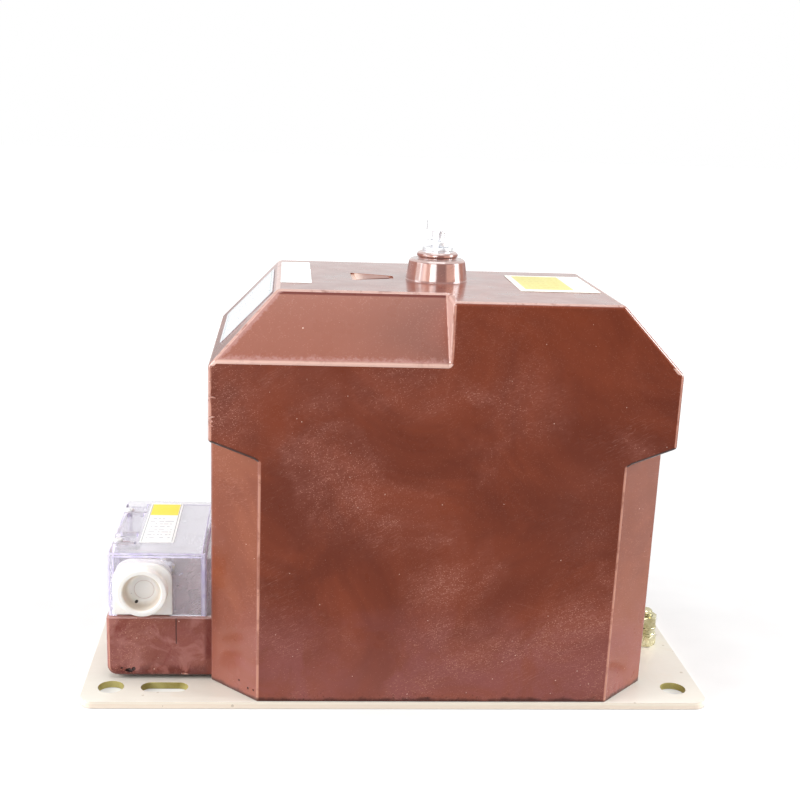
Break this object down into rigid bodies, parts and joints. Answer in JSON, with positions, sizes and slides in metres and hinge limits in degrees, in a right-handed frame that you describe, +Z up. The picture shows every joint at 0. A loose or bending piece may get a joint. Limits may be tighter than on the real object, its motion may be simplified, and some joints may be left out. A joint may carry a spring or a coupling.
{
  "type": "voltage transformer",
  "caption": "Indoor resin-cast voltage transformer block on a slotted steel base plate, with a high voltage screw terminal on top, a clear terminal cover and an earth stud.",
  "frame": {"origin": "middle of the base plate's underside, where the transformer rests on its panel", "axes": "+Z up; +X along the plate's length, from the terminal block towards the earth stud; -Y is the front, with the cable gland; the picture looks along about +Y"},
  "size_m": [0.354, 0.148, 0.2634],
  "materials": {
    "zinc_plate": "zinc plated sheet steel, pale",
    "resin": "cast epoxy, semi-gloss red-brown",
    "core_steel": "cut faces of wound strip",
    "steel_band": "rolled",
    "pressboard": "matt",
    "former_board": "matt",
    "copper_thick": "enamelled copper",
    "copper_thin": "enamelled copper",
    "insulation": "film",
    "lead_red": "sleeved wire",
    "lead_blue": "sleeved wire",
    "lead_green": "sleeved wire",
    "bright_metal": "nickel plated, bright",
    "brass": "machined",
    "clear_cover": "clear moulded plastic",
    "cream_rubber": "soft, satin",
    "label_white": "printed film",
    "label_yellow": "printed film",
    "plate_metal": "printed, satin",
    "yellow_zinc": "yellow passivated zinc"
  },
  "bodies": {
    "root": {"base_plate": "zinc_plate", "cast_body": "resin", "core_left": "core_steel", "core_right": "core_steel", "core_band": "steel_band", "core_wedges": "pressboard", "coil_former": "former_board", "secondary_winding": "copper_thick", "layer_insulation": "insulation", "residual_winding": "copper_thick", "main_insulation": "insulation", "primary_winding": "copper_thin", "hv_screen": "copper_thick", "hv_lead": "copper_thick", "winding_leads": "lead_red", "neutral_lead": "lead_blue", "earth_lead": "lead_green", "hv_insert": "bright_metal", "hv_flat_washer": "bright_metal", "hv_spring_washer": "bright_metal", "hv_screw": "bright_metal", "terminal_inserts": "brass", "terminal_washers": "bright_metal", "terminal_screws": "bright_metal", "earth_link": "brass", "box_cover": "clear_cover", "cover_inserts": "brass", "cover_screws": "bright_metal", "cable_gland": "cream_rubber", "cover_label": "label_white", "rating_plate": "plate_metal", "top_label_left": "label_white", "top_label_right": "label_yellow", "base_inserts": "brass", "base_screws": "yellow_zinc", "earth_stud": "yellow_zinc", "earth_clamp_nut": "yellow_zinc", "earth_washers": "yellow_zinc", "earth_spring_washer": "bright_metal", "earth_top_nut": "yellow_zinc"}
  },
  "joints": []
}
